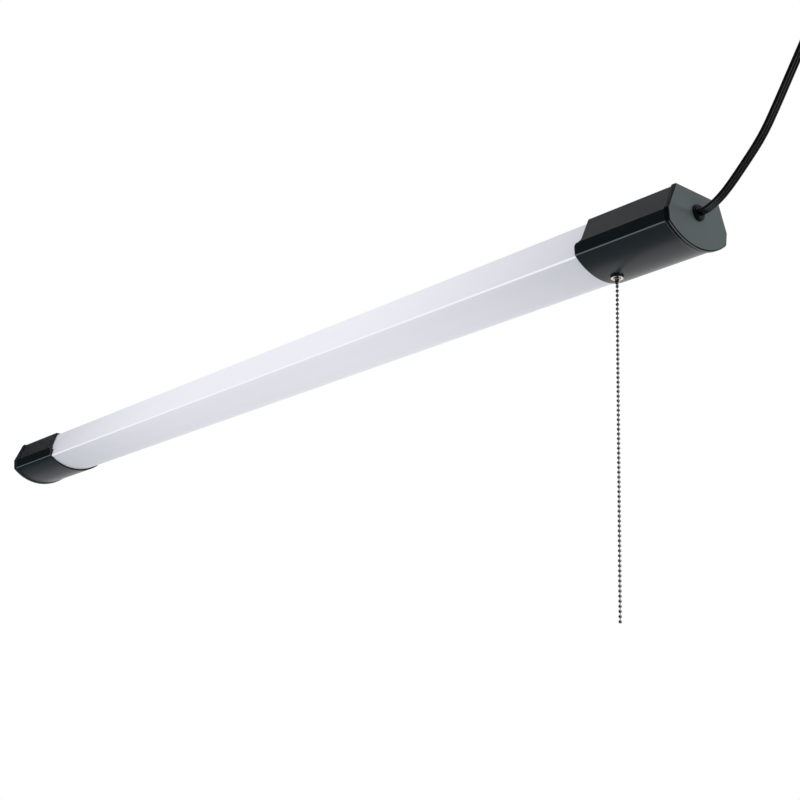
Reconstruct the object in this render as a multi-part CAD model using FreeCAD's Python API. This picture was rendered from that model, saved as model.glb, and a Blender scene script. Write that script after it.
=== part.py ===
import FreeCAD, Part
import math
import os

# A four-foot hanging shop light: a steel tray with a white diffuser under it, a black cap at each
# end, and in the power cap a driver and a pull-chain switch. Lengths are in millimetres.
# X runs along the light towards the power cap, Z is up, and z = 0 is the top of the tray.

os.makedirs("parts", exist_ok=True)
V = FreeCAD.Vector

# ---- driving dimensions -------------------------------------------------------------------------

# the whole light
length = 1219.0
fit_gap = 0.3

# end caps, seen along X: flat top, sloped sides, an upright band and a round bottom
chain_from_cap_edge = 16.6
cap_step = 8.0
cap_step_height = 8.0
cap_top_half_width = 28.3
cap_band_half_width = 39.0
cap_crease_half_width = 37.7
cap_band_depth = 25.2
cap_crease_depth = 36.2
cap_depth = 50.3
cap_wall = 2.2
cap_top_round = 1.8
cap_band_round = 1.6
cap_crease_round = 0.6
cap_socket_depth = 16.0
diffuser_in_cap = 5.5

# end plates that close the caps
plate_thickness = 5.0
plate_overhang = 1.3
plate_rim_round = 1.5
spigot_depth = 6.0
spigot_wall = 1.8
snap_width = 12.0
snap_length = 3.0
snap_height = 0.7

# steel tray
tray_from_diffuser_edge = 2.2
tray_wall = 1.0
tray_flange = 9.0
tray_ledge = 2.4
tray_corner_round = 0.9
tray_end_gap = 0.5
hanging_hole_radius = 3.0
hanging_spacing_x = 914.4
hanging_spacing_y = 32.0

# diffuser
diffuser_wall = 1.6
diffuser_bulge = 0.7
diffuser_top_round = 1.0
diffuser_crease_round = 1.8
hook_height = 1.2

# reflector pan
pan_wall = 0.8
pan_depth = 10.0
pan_from_driver = 31.5
pan_screw_count = 4
pan_screw_spacing = 280.0
pan_screw_radius = 1.5
pan_screw_head_radius = 2.0
pan_screw_head = 1.1
pan_screw_depth = 4.1

# light engine
board_from_pan_end = 13.0
board_half_width = 10.0
board_thickness = 1.0
board_split = 6.0
chip_length = 3.0
chip_width = 2.8
chip_height = 0.7
chip_count = 48
chip_from_board_end = 11.7
board_screw_count = 4
board_screw_radius = 1.5
board_screw_head_radius = 2.5
board_screw_head = 1.2
link_length = 16.0
link_width = 6.0
link_height = 3.0
feed_length = 6.0
feed_width = 12.0
feed_height = 4.0

# driver
driver_length = 50.0
driver_half_width = 19.0
driver_height = 21.0
driver_wall = 0.8
driver_from_plate = 22.0
driver_ear = 6.0
driver_screw_radius = 1.7
driver_screw_head_radius = 2.8
driver_screw_head = 1.4
circuit_board_thickness = 1.6
circuit_board_lift = 1.5
standoff_radius = 2.0
transformer_length = 18.0
transformer_width = 15.0
transformer_height = 12.0
bobbin_length = 11.0
bobbin_overhang = 2.0
capacitor_radius = 5.0
capacitor_height = 13.0
capacitor_round = 0.6
choke_ring_radius = 5.0
choke_wire_radius = 2.2

# pull-chain switch
switch_from_driver = 3.9
switch_half_width = 12.0
switch_length = 27.0
switch_under_leads = 4.1
switch_wall = 1.5
switch_near_side = 10.0
cover_thickness = 1.4
bushing_radius = 3.4
bushing_bore = 2.1
bushing_mouth = 0.8
bushing_flange_radius = 4.8
bushing_flange = 1.0
thread_gap = 0.08
nut_radius = 6.0
nut_height = 2.6
nut_seat_depth = 0.4
nut_flute_count = 24
nut_flute_radius = 0.45
locknut_radius = 6.4
locknut_height = 2.0
pad_height = 0.6
drum_groove_radius = 4.6
drum_flange_radius = 6.8
drum_flange = 0.8
drum_groove = 3.2
axle_radius = 1.25
running_gap = 0.05
rotor_radius = 6.6
rotor_core_radius = 5.4
rotor_tooth_count = 8
rotor_tooth_width = 1.8
rotor_width = 3.4
spring_thickness = 0.35
spring_width = 3.0
spring_pitch = 0.9
spring_half_turns = 7
spring_hub_radius = 2.0
peg_radius = 0.8
contact_thickness = 0.5
contact_width = 4.4
contact_height = 10.0

# pull chain
inner_bead_radius = 1.2
inner_bead_pitch = 3.2
inner_bead_count = 7
inner_wire_radius = 0.35
bead_radius = 1.6
bead_pitch = 4.32
bead_bore = 0.5
wire_radius = 0.38
top_bead_count = 18
upper_bead_count = 18
lower_bead_count = 18
end_bead_count = 17
joint_gap = 0.12
coupling_drop = 3.0
coupling_height = 4.7
coupling_radius = 2.1
coupling_neck_radius = 1.3
coupling_mouth = 1.3
coupling_mouth_radius = 1.35

# strain relief and flat three-wire cord
relief_depth = 18.3
relief_flange_radius = 7.6
relief_flange = 2.0
relief_body_radius = 6.2
relief_lip_radius = 6.0
relief_lip = 0.6
relief_inner = 5.5
relief_catch_radius = 6.9
relief_catch = 1.6
cord_width = 9.5
cord_thickness = 3.4
coil_pitch = 4.0
coil_radius = 63.0
coil_flat_turns = 3
coil_climb = 11.0
coil_climb_draw_in = 2.6
coil_start_angle = 150.0
coil_from_exit_x = 187.9
coil_from_exit_z = 122.8
coil_end_run = 34.0
coil_start_run = 9.5
cord_first_run = 6.0
cord_last_run = 21.0
coil_steps_per_turn = 4
tie_width = 8.0
tie_thickness = 1.2

# plug
plug_tail_length = 18.0
plug_tail_radius = 4.4
plug_tail_flat = 1.8
plug_tail_round = 1.2
plug_length = 32.0
plug_width = 25.0
plug_depth = 19.0
plug_face_width = 29.0
plug_face_depth = 27.0
plug_face_length = 6.0
plug_round = 3.0
plug_shoulder = 8.0
blade_spacing = 12.7
blade_length = 17.0
blade_width = 6.4
blade_thickness = 1.5
blade_hole_radius = 1.6
blade_hole_from_tip = 4.5
blade_root = 4.0
ground_pin_radius = 2.4
ground_pin_length = 19.0
ground_pin_offset = 11.9
blade_drop = 4.0

# leads inside the power cap
lead_radius = 1.1
lead_spacing = 3.0
lead_bend = 3.0
tail_bend = 7.0
tail_drop = 11.0
tail_gap = 2.0
lead_drop = 5.0

# the cross in every screw's head, as shares of the head's radius and height
cross_reach = 0.62
cross_half_width = 0.17
cross_depth = 0.6

# screws through the caps and the ground screw
cap_screw_radius = 1.6
cap_screw_head_radius = 3.2
cap_screw_head = 1.7
cap_screw_length = 7.0
cap_screw_spacing = 26.0
cap_screw_from_edge = 25.5
ground_screw_radius = 1.9
ground_screw_head_radius = 3.4
ground_screw_head = 1.6
ground_screw_side = 12.0
ground_lead_side = 18.5
ring_terminal_thickness = 0.8
ring_terminal_radius = 3.6

# ---- places that follow from them ---------------------------------------------------------------

inset = cap_wall + fit_gap
half_length = length / 2
cap_top_z = inset
band_z = cap_top_z - cap_band_depth
crease_z = cap_top_z - cap_crease_depth
cap_bottom_z = cap_top_z - cap_depth
plate_inner_x = half_length - plate_thickness
spigot_end_x = plate_inner_x - spigot_depth
tray_half_length = spigot_end_x - tray_end_gap
driver_end_x = half_length - driver_from_plate
driver_start_x = driver_end_x - driver_length
switch_end_x = driver_start_x - switch_from_driver
switch_start_x = switch_end_x - switch_length
chain_x = switch_start_x + switch_near_side
cap_open_x = chain_x - chain_from_cap_edge
diffuser_half_length = cap_open_x + cap_step + diffuser_in_cap
diffuser_top_half_width = cap_top_half_width - inset
tray_half_width = diffuser_top_half_width - tray_from_diffuser_edge
pan_half_length = driver_start_x - driver_ear - pan_from_driver
pan_half_width = tray_half_width - tray_wall - fit_gap
pan_top_z = -tray_wall - fit_gap
pan_floor_z = pan_top_z - pan_depth
board_z = pan_floor_z - board_thickness
board_length = pan_half_length - board_split / 2 - board_from_pan_end
chip_spacing = (board_length - 2 * chip_from_board_end) / (chip_count - 1)
driver_top_z = -tray_wall
driver_bottom_z = driver_top_z - driver_height
lid_z = driver_bottom_z - driver_wall
cavity_floor_z = cap_bottom_z + cap_wall
pad_z = cavity_floor_z + pad_height
switch_bottom_z = pad_z + locknut_height + thread_gap
drum_x = chain_x + drum_groove_radius + inner_bead_radius + 0.5 * fit_gap
nut_seat_z = cap_bottom_z + nut_seat_depth
nut_bottom_z = nut_seat_z - nut_height
coupling_pivot_z = nut_bottom_z - coupling_drop
first_bead_z = coupling_pivot_z - coupling_height
relief_z = cap_top_z - relief_depth
relief_face_x = half_length + relief_flange + relief_lip
coil_center_x = relief_face_x + coil_from_exit_x
coil_center_z = relief_z + coil_from_exit_z
tail_x = driver_end_x + tail_gap + cord_thickness / 2
tail_end_z = relief_z - tail_drop
lead_z = tail_end_z - lead_drop
feed_z = board_z - feed_height / 2
switch_top_z = feed_z - lead_radius - switch_under_leads - cover_thickness
drum_z = (switch_bottom_z + switch_top_z) / 2
parts_z = driver_bottom_z + circuit_board_lift + circuit_board_thickness
spring_near_y = drum_groove / 2 + drum_flange + fit_gap
spring_start_radius = spring_hub_radius + spring_thickness + thread_gap
spring_outer_radius = spring_start_radius + (spring_half_turns - 1) * spring_pitch / 2
blade_z = -blade_drop


# ---- small tools for shapes ---------------------------------------------------------------------

def save(name, *solids):
    """Write one sub-part, a single solid or a group of them."""
    shape = solids[0] if len(solids) == 1 else Part.makeCompound(list(solids))
    shape.exportStep(f"parts/{name}.step")


def box(x, y, z):
    """A box from three (low, high) pairs."""
    return Part.makeBox(x[1] - x[0], y[1] - y[0], z[1] - z[0], V(x[0], y[0], z[0]))


def centred_box(x, half_y, z):
    return box(x, (-half_y, half_y), z)


def rod(radius, start, end):
    """A round bar between two points."""
    return Part.makeCylinder(radius, (end - start).Length, start, end - start)


def cone(radius_1, radius_2, start, end):
    return Part.makeCone(radius_1, radius_2, (end - start).Length, start, end - start)


def joined(shapes):
    whole = shapes[0]
    for shape in shapes[1:]:
        whole = whole.fuse(shape)
    return whole.removeSplitter()


def without(solid, cutters):
    for cutter in cutters:
        solid = solid.cut(cutter)
    return solid


def with_cross(screw, face, outward, head_radius, head_height):
    """The screw with a cross for the driver cut into its head's face."""
    reach, half = head_radius * cross_reach, head_radius * cross_half_width
    depth = head_height * cross_depth
    cross = joined([box((-reach, reach), (-half, half), (-depth, depth)),
                    box((-half, half), (-reach, reach), (-depth, depth))])
    cross.Placement = FreeCAD.Placement(face, FreeCAD.Rotation(V(0, 0, 1), outward))
    return screw.cut(cross)


def turned(shape):
    """The same piece at the other end of the light."""
    copy = shape.copy()
    copy.rotate(V(0, 0, 0), V(0, 0, 1), 180)
    return copy


def mirrored(shape):
    """The same piece on the other side of the light."""
    return shape.mirror(V(0, 0, 0), V(0, 1, 0))


def along_x(wire, start, end):
    """The solid that a closed wire at x = 0 sweeps from start to end."""
    face = Part.Face(wire)
    face.translate(V(start, 0, 0))
    return face.extrude(V(end - start, 0, 0))


def rounded_along_x(solid, corners, radius):
    """Round the edges along X that pass through the given (y, z) corners, on both sides."""
    edges = []
    for edge in solid.Edges:
        ends = [vertex.Point for vertex in edge.Vertexes]
        if len(ends) != 2 or abs(ends[0].y - ends[1].y) + abs(ends[0].z - ends[1].z) > 0.01:
            continue
        for y, z in corners:
            if abs(abs(ends[0].y) - y) < 0.01 and abs(ends[0].z - z) < 0.01:
                edges.append(edge)
    return solid.makeFillet(radius, edges)


def arc(start, through, end):
    return Part.Arc(start, through, end).toShape()


def line(start, end):
    return Part.LineSegment(start, end).toShape()


def bent_path(points, radii):
    """Straight runs through the points, with a tangent arc of each radius at the inner ones."""
    edges = []
    last = points[0]
    for before, corner, after, radius in zip(points, points[1:], points[2:], radii):
        inward = (before - corner).normalize()
        outward = (after - corner).normalize()
        turn = math.pi - inward.getAngle(outward)
        reach = radius * math.tan(turn / 2)
        middle = (inward + outward).normalize()
        start = corner + inward * reach
        end = corner + outward * reach
        through = corner + middle * (radius / math.cos(turn / 2) - radius)
        if (start - last).Length > 1e-6:
            edges.append(line(last, start))
        edges.append(arc(start, through, end))
        last = end
    edges.append(line(last, points[-1]))
    return Part.Wire(edges)


def wire_along(points, radius, bend):
    """A round lead through the points."""
    path = bent_path(points, [bend] * (len(points) - 2))
    ring = Part.Wire(Part.makeCircle(radius, points[0], points[1] - points[0]))
    return Part.Wire(path).makePipeShell([ring], True, False)


def flat_outline(centre, side, through):
    """Outline of the flat cord square to its run: straight faces and round edges."""
    half_thickness = cord_thickness / 2
    end_centre = (cord_width - cord_thickness) / 2

    def at(across, up):
        return centre + side * across + through * up

    return Part.Wire([
        line(at(-end_centre, half_thickness), at(end_centre, half_thickness)),
        arc(at(end_centre, half_thickness), at(cord_width / 2, 0), at(end_centre, -half_thickness)),
        line(at(end_centre, -half_thickness), at(-end_centre, -half_thickness)),
        arc(at(-end_centre, -half_thickness), at(-cord_width / 2, 0), at(-end_centre, half_thickness)),
    ])


def flat_cord(path, start, heading):
    """The flat cord swept along a path, its wide side along Y where it starts."""
    through = V(0, 1, 0).cross(heading)
    return path.makePipeShell([flat_outline(start, V(0, 1, 0), through)], True, False)


def rounded_rectangle(x, half_y, half_z, radius, side=0.0, height=0.0):
    """A rectangle with round corners, square to X, centred at y = side and z = height."""
    left, right = side - half_y, side + half_y
    low, high = height - half_z, height + half_z
    corners = [V(x, left, low), V(x, right, low), V(x, right, high), V(x, left, high), V(x, left, low)]
    outline = Part.makePolygon(corners)
    prism = Part.Face(outline).extrude(V(1, 0, 0))
    prism = prism.makeFillet(radius, [edge for edge in prism.Edges if abs(edge.tangentAt(0).x) > 0.5])
    face = min(prism.Faces, key=lambda candidate: candidate.CenterOfMass.x)
    return face.OuterWire


# ---- cross-sections -----------------------------------------------------------------------------

def section(top_half, top, band_half, band, crease_half, crease, bottom):
    """Closed outline at x = 0: flat top, straight sides down to the crease, and an arc below."""
    right = [V(0, top_half, top), V(0, band_half, band), V(0, crease_half, crease)]
    left = [V(0, -point.y, point.z) for point in right]
    return Part.Wire([
        line(left[0], right[0]), line(right[0], right[1]), line(right[1], right[2]),
        arc(right[2], V(0, 0, bottom), left[2]),
        line(left[2], left[1]), line(left[1], left[0]),
    ])


def diffuser_section():
    """Closed outline of the diffuser: flat top, slightly full sides and an arc below."""
    top_half = diffuser_top_half_width
    crease_half = cap_crease_half_width - inset
    middle_half = (top_half + crease_half) / 2 + diffuser_bulge
    corners = [V(0, top_half, 0), V(0, middle_half, crease_z / 2), V(0, crease_half, crease_z)]
    left = [V(0, -point.y, point.z) for point in corners]
    return Part.Wire([
        line(left[0], corners[0]), arc(*corners),
        arc(corners[2], V(0, 0, cap_bottom_z + inset), left[2]), arc(left[2], left[1], left[0]),
    ])


def grown(wire, distance):
    """The outline moved outwards by a distance, or inwards by a negative one."""
    return wire.makeOffset2D(distance, 2)


cap_section = section(cap_top_half_width, cap_top_z, cap_band_half_width, band_z,
                      cap_crease_half_width, crease_z, cap_bottom_z)


# ---- tray, pan and diffuser ---------------------------------------------------------------------

def tray():
    """Channel of folded sheet: a top, two flanges, and a ledge along each that carries the diffuser."""
    run = (-tray_half_length, tray_half_length)
    top = centred_box(run, tray_half_width, (-tray_wall, 0))
    flange = box(run, (tray_half_width - tray_wall, tray_half_width), (-tray_flange, 0))
    ledge = box(run, (tray_half_width - tray_wall, tray_half_width + tray_ledge),
                (-tray_flange, tray_wall - tray_flange))
    channel = joined([top, flange, ledge, mirrored(flange), mirrored(ledge)])
    channel = rounded_along_x(channel, [(tray_half_width, 0)], tray_corner_round)
    holes = []
    for x in (-hanging_spacing_x / 2, hanging_spacing_x / 2):
        for y in (-hanging_spacing_y / 2, hanging_spacing_y / 2):
            holes.append(rod(hanging_hole_radius, V(x, y, -2 * tray_wall), V(x, y, tray_wall)))
    for x, y in cap_screw_places():
        holes.append(rod(cap_screw_radius + thread_gap, V(x, y, -2 * tray_wall), V(x, y, tray_wall)))
    for x in driver_screw_places():
        holes.append(rod(driver_screw_radius + thread_gap, V(x, 0, -2 * tray_wall), V(x, 0, tray_wall)))
    holes.append(rod(ground_screw_radius + thread_gap, V(tail_x, ground_screw_side, -2 * tray_wall),
                     V(tail_x, ground_screw_side, tray_wall)))
    for x in pan_screw_places():
        through = tray_half_width + 1
        holes.append(rod(pan_screw_radius + thread_gap, V(x, -through, -pan_screw_depth),
                         V(x, through, -pan_screw_depth)))
    return without(channel, holes)


def spread(count, spacing):
    """Places of a centred row."""
    return [(i - (count - 1) / 2) * spacing for i in range(count)]


def pan_screw_places():
    return spread(pan_screw_count, pan_screw_spacing)


def cap_screw_places():
    x = cap_open_x + cap_screw_from_edge
    return [(end * x, side * cap_screw_spacing / 2) for end in (-1, 1) for side in (-1, 1)]


def driver_screw_places():
    return [driver_start_x - driver_ear / 2, driver_end_x + driver_ear / 2]


def board_starts():
    """Left ends of the two boards."""
    return [-board_split / 2 - board_length, board_split / 2]


def chip_places(start):
    return [start + board_length / 2 + x for x in spread(chip_count, chip_spacing)]


def board_screw_places(start):
    """Between chips, so that a head clears the two beside it."""
    chips = chip_places(start)
    step = (chip_count - 2) // (board_screw_count - 1)
    return [chips[i * step] + chip_spacing / 2 for i in range(board_screw_count)]


def pan():
    """White sheet folded into a trough that lies in the tray and carries the boards."""
    run = (-pan_half_length, pan_half_length)
    floor = centred_box(run, pan_half_width, (pan_floor_z, pan_floor_z + pan_wall))
    side = box(run, (pan_half_width - pan_wall, pan_half_width), (pan_floor_z, pan_top_z))
    trough = joined([floor, side, mirrored(side)])
    holes = []
    for x in pan_screw_places():
        holes.append(rod(pan_screw_radius + thread_gap, V(x, -tray_half_width, -pan_screw_depth),
                         V(x, tray_half_width, -pan_screw_depth)))
    for start in board_starts():
        for x in board_screw_places(start):
            holes.append(rod(board_screw_radius + thread_gap, V(x, 0, pan_floor_z - 1), V(x, 0, 0)))
    return without(trough, holes)


def pan_screws():
    """Side screws that hold the pan in the tray."""
    inner = pan_half_width - pan_wall
    screws = []
    for x in pan_screw_places():
        for side in (-1, 1):
            outward = V(0, side, 0)
            seat = V(x, side * tray_half_width, -pan_screw_depth)
            face = seat + outward * pan_screw_head
            head = rod(pan_screw_head_radius, seat, face)
            shank = rod(pan_screw_radius, V(x, side * inner, -pan_screw_depth), seat)
            screws.append(with_cross(joined([head, shank]), face, outward, pan_screw_head_radius,
                                     pan_screw_head))
    return screws


def diffuser():
    """Extruded white cover that slides on from the end and hooks over the tray's ledges."""
    outline = diffuser_section()
    run = (-diffuser_half_length, diffuser_half_length)
    body = along_x(outline, *run)
    body = rounded_along_x(body, [(diffuser_top_half_width, 0)], diffuser_top_round)
    body = rounded_along_x(body, [(cap_crease_half_width - inset, crease_z)], diffuser_crease_round)
    hook_top = -tray_flange + tray_wall + fit_gap + hook_height
    hook_inner = tray_half_width + fit_gap
    hook = box(run, (hook_inner, cap_band_half_width), (hook_top - hook_height, hook_top))
    hooks = joined([hook, mirrored(hook)]).common(body)
    inside = along_x(grown(outline, -diffuser_wall), run[0] - 1, run[1] + 1)
    slot = centred_box((run[0] - 1, run[1] + 1), hook_inner, (-2 * diffuser_wall, 1))
    cover = joined([without(body, [inside, slot]), hooks])
    step_x = cap_open_x + diffuser_in_cap
    end_cut = centred_box((step_x, diffuser_half_length + 1), cap_band_half_width,
                          (cap_bottom_z, band_z + cap_step_height / 2))
    return without(cover, [end_cut, turned(end_cut)])


# ---- light engine -------------------------------------------------------------------------------

def board(start):
    plate = centred_box((start, start + board_length), board_half_width, (board_z, pan_floor_z))
    hole_radius = board_screw_radius + thread_gap
    return without(plate, [rod(hole_radius, V(x, 0, board_z - 1), V(x, 0, pan_floor_z + 1))
                           for x in board_screw_places(start)])


def chips():
    places = [x for start in board_starts() for x in chip_places(start)]
    return [centred_box((x - chip_length / 2, x + chip_length / 2), chip_width / 2,
                        (board_z - chip_height, board_z)) for x in places]


def board_screws():
    screws = []
    for start in board_starts():
        for x in board_screw_places(start):
            face = V(x, 0, board_z - board_screw_head)
            head = rod(board_screw_head_radius, face, V(x, 0, board_z))
            shank = rod(board_screw_radius, V(x, 0, board_z), V(x, 0, pan_floor_z + pan_wall))
            screws.append(with_cross(joined([head, shank]), face, V(0, 0, -1), board_screw_head_radius,
                                     board_screw_head))
    return screws


def board_link():
    """Bridging connector under the joint between the boards."""
    return box((-link_length / 2, link_length / 2), (board_half_width - link_width, board_half_width),
               (board_z - link_height, board_z))


def feed_connector():
    """Connector at the power end of the second board that takes the two leads."""
    end = board_starts()[1] + board_length - fit_gap
    return centred_box((end - feed_length, end), feed_width / 2, (board_z - feed_height, board_z))


# ---- driver -------------------------------------------------------------------------------------

def driver_case():
    """Steel box hung under the tray by an ear at each end, open below."""
    outer = centred_box((driver_start_x, driver_end_x), driver_half_width,
                        (driver_bottom_z, driver_top_z))
    inner = centred_box((driver_start_x + driver_wall, driver_end_x - driver_wall),
                        driver_half_width - driver_wall,
                        (driver_bottom_z - 1, driver_top_z - driver_wall))
    ears = centred_box((driver_start_x - driver_ear, driver_end_x + driver_ear), driver_ear,
                       (driver_top_z - driver_wall, driver_top_z))
    holes = [rod(driver_screw_radius + thread_gap, V(x, 0, driver_top_z - 2 * driver_wall), V(x, 0, 0))
             for x in driver_screw_places()]
    holes += [rod(lead_radius + thread_gap, V(driver_start_x - driver_wall, y, feed_z),
                  V(driver_start_x + 2 * driver_wall, y, feed_z))
              for y in (-lead_spacing, lead_spacing)]
    return without(joined([outer, ears]), [inner] + holes)


def driver_lid():
    """Lid under the case, with side tabs that grip inside it and four posts for the circuit board."""
    plate = centred_box((driver_start_x, driver_end_x), driver_half_width, (lid_z, driver_bottom_z))
    middle = (driver_start_x + driver_end_x) / 2
    tab_outer = driver_half_width - driver_wall - thread_gap
    tab = box((middle - driver_ear, middle + driver_ear), (tab_outer - driver_wall, tab_outer),
              (driver_bottom_z, driver_bottom_z + driver_ear))
    reach_x = driver_length / 2 - driver_wall - 2 * standoff_radius
    reach_y = driver_half_width - driver_wall - 3 * standoff_radius
    posts = [rod(standoff_radius, V(middle + i * reach_x, j * reach_y, driver_bottom_z),
                 V(middle + i * reach_x, j * reach_y, driver_bottom_z + circuit_board_lift))
             for i in (-1, 1) for j in (-1, 1)]
    holes = [rod(lead_radius + thread_gap, V(x, y, lid_z - 1), V(x, y, driver_bottom_z + 1))
             for x, y in lid_lead_places()]
    return without(joined([plate, tab, mirrored(tab)] + posts), holes)


def lid_lead_places():
    """Neutral and switched leads enter through the lid."""
    middle = (driver_start_x + driver_end_x) / 2
    return [(middle + driver_length / 4, 0), (middle, lead_spacing)]


def circuit_board():
    edge_gap = driver_wall + fit_gap
    half_width = driver_half_width - 2 * driver_wall - thread_gap - fit_gap
    bottom = driver_bottom_z + circuit_board_lift
    plate = centred_box((driver_start_x + edge_gap, driver_end_x - edge_gap), half_width,
                        (bottom, bottom + circuit_board_thickness))
    holes = [rod(lead_radius + thread_gap, V(x, y, bottom - 1), V(x, y, parts_z + 1))
             for x, y in lid_lead_places()]
    return without(plate, holes)


def transformer():
    """Ferrite core with its bobbin and winding."""
    start = driver_start_x + 2 * driver_wall + 2 * standoff_radius
    middle = start + transformer_length / 2
    low = -driver_half_width + 3 * driver_wall + fit_gap
    core = box((start, start + transformer_length), (low, low + transformer_width),
               (parts_z, parts_z + transformer_height))
    bobbin = box((middle - bobbin_length / 2, middle + bobbin_length / 2),
                 (low + bobbin_overhang / 2, low + transformer_width + bobbin_overhang),
                 (parts_z, parts_z + transformer_height + bobbin_overhang))
    core = core.cut(bobbin)
    return joined([core, bobbin])


def capacitor():
    """Electrolytic can standing on the board."""
    x = driver_end_x - driver_wall - capacitor_radius - 2 * standoff_radius
    y = driver_half_width / 2
    can = rod(capacitor_radius, V(x, y, parts_z), V(x, y, parts_z + capacitor_height))
    rims = [edge for edge in can.Edges if len(edge.Vertexes) == 1 and edge.Length > 1]
    return can.makeFillet(capacitor_round, rims)


def choke():
    """Ring core wound with copper wire, lying on the board."""
    x = driver_start_x + driver_wall + 2 * (choke_ring_radius + choke_wire_radius)
    y = driver_half_width - 2 * driver_wall - choke_ring_radius - choke_wire_radius - fit_gap
    return Part.makeTorus(choke_ring_radius, choke_wire_radius, V(x, y, parts_z + choke_wire_radius))


def driver_screws():
    screws = []
    for x in driver_screw_places():
        seat = driver_top_z - driver_wall
        face = V(x, 0, seat - driver_screw_head)
        head = rod(driver_screw_head_radius, face, V(x, 0, seat))
        shank = rod(driver_screw_radius, V(x, 0, seat), V(x, 0, 0))
        screws.append(with_cross(joined([head, shank]), face, V(0, 0, -1), driver_screw_head_radius,
                                 driver_screw_head))
    return screws


# ---- end caps -----------------------------------------------------------------------------------

def cap_shell():
    """Moulded sleeve with a stepped open end: a socket for the diffuser, then a wider cavity."""
    sleeve = along_x(cap_section, cap_open_x, plate_inner_x)
    sleeve = rounded_along_x(sleeve, [(cap_top_half_width, cap_top_z)], cap_top_round)
    sleeve = rounded_along_x(sleeve, [(cap_band_half_width, band_z)], cap_band_round)
    sleeve = rounded_along_x(sleeve, [(cap_crease_half_width, crease_z)], cap_crease_round)
    socket = along_x(grown(diffuser_section(), fit_gap), cap_open_x - 1, cap_open_x + cap_socket_depth)
    cavity = along_x(grown(cap_section, -cap_wall), cap_open_x + cap_socket_depth, plate_inner_x + 1)
    pocket_top = cap_top_z - cap_wall + snap_height + fit_gap
    snap_x = spigot_end_x + 1 - fit_gap
    pocket = centred_box((snap_x, snap_x + snap_length + 2 * fit_gap), snap_width / 2 + fit_gap,
                         (0, pocket_top))
    screw_holes = []
    for x, y in cap_screw_places():
        if x > 0:
            screw_holes.append(cap_screw(x, y, thread_gap))
    return without(sleeve, [step_cut(), socket, cavity, pocket] + screw_holes)


def step_cut():
    """What the sleeve lacks above its step, bounded by an S of two quarter arcs."""
    lower_x = cap_open_x
    upper_x = cap_open_x + cap_step
    middle = V((lower_x + upper_x) / 2, 0, band_z)
    half = cap_step_height / 2
    lean = cap_step / 2
    bend = math.sqrt(0.5)
    above = V(upper_x, 0, band_z + half)
    below = V(lower_x, 0, band_z - half)
    upper_through = V(upper_x - lean * (1 - bend), 0, band_z + half * (1 - bend))
    lower_through = V(lower_x + lean * (1 - bend), 0, band_z - half * (1 - bend))
    clear = 2.0
    high = cap_top_z + clear
    outline = Part.Wire([
        line(V(upper_x, 0, high), above), arc(above, upper_through, middle),
        arc(middle, lower_through, below), line(below, V(lower_x - clear, 0, below.z)),
        line(V(lower_x - clear, 0, below.z), V(lower_x - clear, 0, high)),
        line(V(lower_x - clear, 0, high), V(upper_x, 0, high)),
    ])
    face = Part.Face(outline)
    face.translate(V(0, -cap_band_half_width - clear, 0))
    return face.extrude(V(0, 2 * (cap_band_half_width + clear), 0))


def power_cap_shell():
    """The same sleeve with a flat seat, a pad and a hole for the switch's bushing."""
    pad = rod(locknut_radius + fit_gap, V(chain_x, 0, cap_bottom_z + cap_wall / 2),
              V(chain_x, 0, pad_z))
    shell = joined([cap_shell(), pad])
    seat = rod(nut_radius + fit_gap, V(chain_x, 0, cap_bottom_z - 1), V(chain_x, 0, nut_seat_z))
    hole = rod(bushing_radius + thread_gap, V(chain_x, 0, cap_bottom_z - 1), V(chain_x, 0, pad_z + 1))
    return without(shell, [seat, hole])


def end_plate():
    """Plate with a rounded rim, and a ring behind it that snaps into the sleeve."""
    plate = along_x(grown(cap_section, plate_overhang), plate_inner_x, half_length)
    upright = [edge for edge in plate.Edges if len(edge.Vertexes) == 2 and abs(edge.tangentAt(
        edge.FirstParameter).x) > 0.9]
    plate = plate.makeFillet(cap_band_round + plate_overhang, upright)
    rims = [edge for edge in plate.Edges if abs(edge.CenterOfMass.x - half_length) < 0.001]
    plate = plate.makeFillet(plate_rim_round, rims)
    backs = [edge for edge in plate.Edges if abs(edge.CenterOfMass.x - plate_inner_x) < 0.001]
    plate = plate.makeFillet(plate_rim_round / 2, backs)
    ring = along_x(grown(cap_section, -inset), spigot_end_x, plate_inner_x + 1)
    hollow = along_x(grown(cap_section, -inset - spigot_wall), spigot_end_x - 1, plate_inner_x)
    snap = centred_box((spigot_end_x + 1, spigot_end_x + 1 + snap_length), snap_width / 2,
                       (-fit_gap, snap_height))
    return joined([plate, ring.cut(hollow), snap])


def power_end_plate():
    hole = rod(relief_body_radius + thread_gap, V(plate_inner_x - 1, 0, relief_z),
               V(half_length + 1, 0, relief_z))
    return end_plate().cut(hole)


def cap_screw(x, y, gap=0.0):
    """Countersunk screw through the cap's top into the tray."""
    top = cap_top_z
    head = cone(cap_screw_radius + gap, cap_screw_head_radius + gap,
                V(x, y, top - cap_screw_head), V(x, y, top))
    shank = rod(cap_screw_radius + gap, V(x, y, top - cap_screw_length), V(x, y, top - cap_screw_head))
    return joined([head, shank])


def cap_screws():
    return [with_cross(cap_screw(x, y), V(x, y, cap_top_z), V(0, 0, 1), cap_screw_head_radius,
                       cap_screw_head) for x, y in cap_screw_places()]


# ---- pull-chain switch --------------------------------------------------------------------------

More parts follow.
